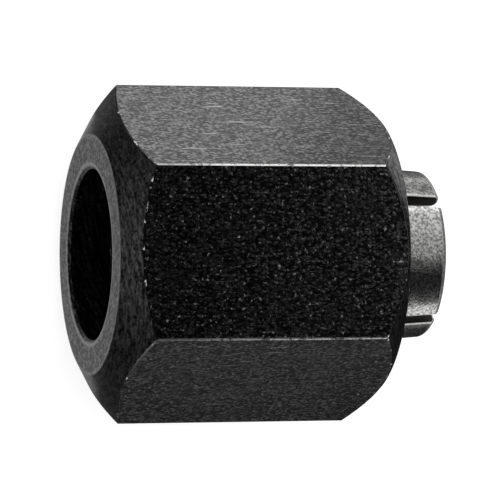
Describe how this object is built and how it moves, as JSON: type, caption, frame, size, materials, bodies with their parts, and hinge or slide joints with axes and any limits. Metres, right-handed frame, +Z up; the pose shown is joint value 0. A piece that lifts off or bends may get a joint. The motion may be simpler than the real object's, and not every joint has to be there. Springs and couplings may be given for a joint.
{
  "type": "router collet",
  "caption": "Hexagonal collet nut with a captive slotted tapered collet that clamps a router bit's shank.",
  "frame": {"origin": "middle of the overall length, on the axis's plane, at the flat that the nut lies on", "axes": "+X along the nut's axis from the open tool side to the collet's tail, +Z up through the opposite flat, +Y to the corner edge on the left when looking along +X"},
  "size_m": [0.032, 0.0312, 0.027],
  "materials": {
    "black_oxide_steel": "black oxide, fine satin machined surface with bright worn edges",
    "ground_steel": "hardened steel, turned and ground, satin bright",
    "spring_steel": "dark drawn spring wire"
  },
  "bodies": {
    "nut": {"collet_nut": "black_oxide_steel"},
    "ring": {"retaining_ring": "spring_steel"},
    "collet_body": {"collet": "ground_steel"}
  },
  "joints": [
    {"name": "collet_turn", "type": "hinge", "parent": "nut", "child": "ring", "pos_m": [0, 0, 0.0135], "axis": [1, 0, 0], "continuous": true},
    {"name": "collet_slide", "type": "slide", "parent": "ring", "child": "collet_body", "axis": [1, 0, 0], "range_m": [-0.0003, 0.0005]}
  ]
}
